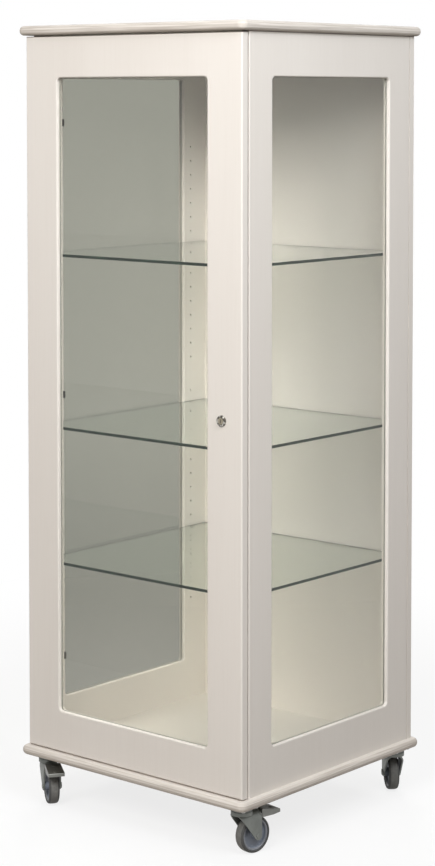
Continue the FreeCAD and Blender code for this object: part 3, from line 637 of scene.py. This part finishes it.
class CASE_OT_shelves(bpy.types.Operator):
    """Makes the glass shelves and finishes their pins"""

    bl_idname = "case.shelves"
    bl_label = "Shelves"

    def execute(self, context):
        care = context.scene.case_glass
        materials = clear_glass("shelf_glass", care.shelf), shelf_edge()
        for node in SHELVES:
            mesh = shelf_mesh(node, care.arris)
            piece = mesh_piece("glass_" + node, "carcass", mesh, materials, SHELF_CREASE)
            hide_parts(node)
        dress(plated("pin_nickel", context.scene.case_metal.nickel, 0.3, 1.0, PIN_LINES), "shelf_pins")
        return {"FINISHED"}


class CASE_OT_fittings(bpy.types.Operator):
    """Finishes the hinges, the lock and the screws"""

    bl_idname = "case.fittings"
    bl_label = "Fittings"

    def execute(self, context):
        metal = context.scene.case_metal
        # Painted shade: the hinges and other fittings take the dark nickel, which stands for the shade they sit
        # in
        nickel = plated("fitting_nickel_painted_shade", metal.dark, 0.35, 1.0, FITTING_LINES)
        dress(nickel, *[f"hinge_{part}_{place}" for part in ("cup", "arm") for place in HINGES])
        dress(nickel, "hinge_pins", "hinge_plates", "lock_cam", "lock_nut", "strike_plate")
        dress(plated("lock_ring", metal.dark, 0.2, 1.0, LOCK_LINES, metal.nickel), "lock_body")
        dress(plated("lock_face", metal.face, 0.25, 1.0, LOCK_LINES), "lock_plug")
        steel = plated("screw_zinc", metal.steel, 0.38, 1.0, SCREW_LINES)
        dress(steel, "carcass_screws", "back_screws", "hinge_cup_screws", "fitting_screws")
        dress(steel, "lock_cam_screw", "castor_screws")
        return {"FINISHED"}


class CASE_OT_castors(bpy.types.Operator):
    """Finishes the castors and their brake pedals"""

    bl_idname = "case.castors"
    bl_label = "Castors"

    def execute(self, context):
        metal = context.scene.case_metal
        zinc = plated("castor_zinc", metal.zinc, 0.48, 0.5, CASTOR_LINES)
        dress(zinc, "castor_plates", "castor_king_pins")
        polished = plated("pedal_zinc", metal.pedal, 0.34, 0.85, CASTOR_LINES)
        dress(polished, "brake_pedal_front_left", "brake_pedal_front_right")
        castors = context.scene.case_castors
        plastic = wheel_plastic("wheel_plastic", castors.core), wheel_plastic("wheel_lip", castors.lip)
        rubber = tyre_rubber("tyre_rubber", castors.tyre), tyre_rubber("tyre_tread", castors.tread)
        joints = {joint["name"]: joint for joint in frame["joints"]}
        for corner in CORNERS:
            dress(zinc, "castor_fork_" + corner, "castor_axle_" + corner)
            roll, body = joints["roll_" + corner], "wheel_" + corner
            mesh = lathe_mesh(roll, CORE, RIM_RADIUS)
            piece = mesh_piece("core_" + corner, body, mesh, plastic, WHEEL_CREASE)
            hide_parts("castor_wheel_" + corner)
            mesh = lathe_mesh(roll, TYRE, TREAD_RADIUS)
            piece = mesh_piece("tyre_" + corner, body, mesh, rubber, WHEEL_CREASE)
            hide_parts("castor_tyre_" + corner)
        return {"FINISHED"}


# Stage
def lamp(name, place, power, tint):
    """Soft square lamp that points at the middle of the case."""
    light = bpy.data.lights.new(name, "AREA")
    light.energy = power
    light.size = LAMP_SIZE
    light.color = tint
    piece = bpy.data.objects.new(name, light)
    bpy.context.scene.collection.objects.link(piece)
    piece.location = place
    piece.rotation_euler = (Vector(LAMP_AIM) - Vector(place)).to_track_quat("-Z", "Y").to_euler()


def behind_case(m, place):
    """How far a place or a direction lies behind the case, away from the camera."""
    return m.node("ShaderNodeVectorMath", {"operation": "DOT_PRODUCT"}, {0: place, 1: AWAY}, output="Value")


def backdrop(m, behind):
    """1 where the camera sees the backdrop, straight, in a reflection or through glass, and the colour seen."""
    camera, glossy, transmission = m.node(
        "ShaderNodeLightPath", output=("Is Camera Ray", "Is Glossy Ray", "Is Transmission Ray")
    )
    return camera.largest(glossy).largest(transmission), m.blend(transmission, WHITE, behind)


class CASE_OT_stage(bpy.types.Operator):
    """Sets the floor, the light and the camera"""

    bl_idname = "case.stage"
    bl_label = "Stage"

    def execute(self, context):
        scene = context.scene
        care = scene.case_stage
        scene.view_settings.view_transform = "Standard"

        scene.world = bpy.data.worlds.new("studio")
        w = Nodes(scene.world)
        even = w.node("ShaderNodeBackground", None, {"Color": AMBIENT_TINT, "Strength": care.ambient})
        dark = [c * ROOM_DARK for c in care.behind]
        direction = w.node("ShaderNodeTexCoord", output="Generated")
        seen, tint = backdrop(w, w.blend(behind_case(w, direction).above(*ROOM_TURN), dark, care.behind))
        white = w.node("ShaderNodeBackground", None, {"Color": tint, "Strength": 1.0})
        w.out(w.node("ShaderNodeMixShader", None, {0: seen, 1: even, 2: white}), "ShaderNodeOutputWorld")

        m = new_material("floor_paper")
        place = m.place((1.0, 1.0, 0.0))
        away = m.node("ShaderNodeVectorMath", {"operation": "LENGTH"}, {0: place}, output="Value")
        seen, tint = backdrop(m, m.blend(behind_case(m, place).above(*ROOM_DEPTH), dark, care.behind))
        shown = seen * (away.above(*FLOOR_FADE) * (1 - care.whiteness) + care.whiteness)
        paper = m.principled(
            base_color=m.blend(seen, care.paper, PAPER_SEEN), roughness=1.0, specular_ior_level=0.0
        )
        glow = m.node("ShaderNodeEmission", None, {"Color": tint, "Strength": 1.0})
        paper = m.out(m.node("ShaderNodeMixShader", None, {0: shown, 1: paper, 2: glow}))
        mesh = bmesh.new()
        bmesh.ops.create_grid(mesh, x_segments=1, y_segments=1, size=FLOOR_SIZE)
        data = bpy.data.meshes.new("floor")
        mesh.to_mesh(data)
        mesh.free()
        data.materials.append(paper)
        floor = bpy.data.objects.new("floor", data)
        scene.collection.objects.link(floor)

        lamp("front_lamp", FRONT_LAMP, care.front_power, WARM)
        lamp("side_lamp", SIDE_LAMP, care.side_power, COOL)
        lamp("back_lamp", BACK_LAMP, care.back_power, WARM)

        camera = bpy.data.cameras.new("photo_camera")
        camera.sensor_fit = "AUTO"
        camera.sensor_width = SENSOR
        camera.lens = LENS
        camera.shift_y = SHIFT_Y
        camera.clip_end = CLIP_END
        seat = bpy.data.objects.new("photo_camera", camera)
        scene.collection.objects.link(seat)
        ahead = Vector((-math.sin(HEADING), math.cos(HEADING), 0.0))
        view = ahead * math.cos(TILT) - Vector((0.0, 0.0, math.sin(TILT)))
        right = Vector((math.cos(HEADING), math.sin(HEADING), 0.0))
        axes = Matrix((right, right.cross(view), -view)).transposed()
        seat.matrix_world = Matrix.Translation(CAMERA_PLACE) @ axes.to_4x4()
        scene.camera = seat
        return {"FINISHED"}


class CASE_PT_panel(bpy.types.Panel):
    """Lists the case's pieces and what can be changed on them"""

    bl_idname = "CASE_PT_panel"
    bl_label = "Display case"
    bl_space_type = "VIEW_3D"
    bl_region_type = "UI"
    bl_category = "Display case"

    def draw(self, context):
        for piece in PIECES:
            self.layout.operator(piece.bl_idname)
        for name, group in GROUPS.items():
            box = self.layout.box()
            for prop in group.__annotations__:
                box.prop(getattr(context.scene, name), prop)


GROUPS = {
    "case_veneer": CaseVeneer,
    "case_glass": CaseGlass,
    "case_metal": CaseMetal,
    "case_castors": CaseCastors,
    "case_stage": CaseStage,
}
PIECES = (CASE_OT_stage, CASE_OT_joinery, CASE_OT_glazing, CASE_OT_shelves, CASE_OT_fittings, CASE_OT_castors)


def register():
    for name, group in GROUPS.items():
        bpy.utils.register_class(group)
        setattr(bpy.types.Scene, name, PointerProperty(type=group))
    for piece in PIECES:
        bpy.utils.register_class(piece)
    bpy.utils.register_class(CASE_PT_panel)


def unregister():
    bpy.utils.unregister_class(CASE_PT_panel)
    for piece in reversed(PIECES):
        bpy.utils.unregister_class(piece)
    for name, group in reversed(GROUPS.items()):
        delattr(bpy.types.Scene, name)
        bpy.utils.unregister_class(group)


def main():
    register()
    bpy.ops.case.stage()
    bpy.ops.case.joinery()
    bpy.ops.case.glazing()
    bpy.ops.case.shelves()
    bpy.ops.case.fittings()
    bpy.ops.case.castors()


if __name__ == "__main__":
    main()
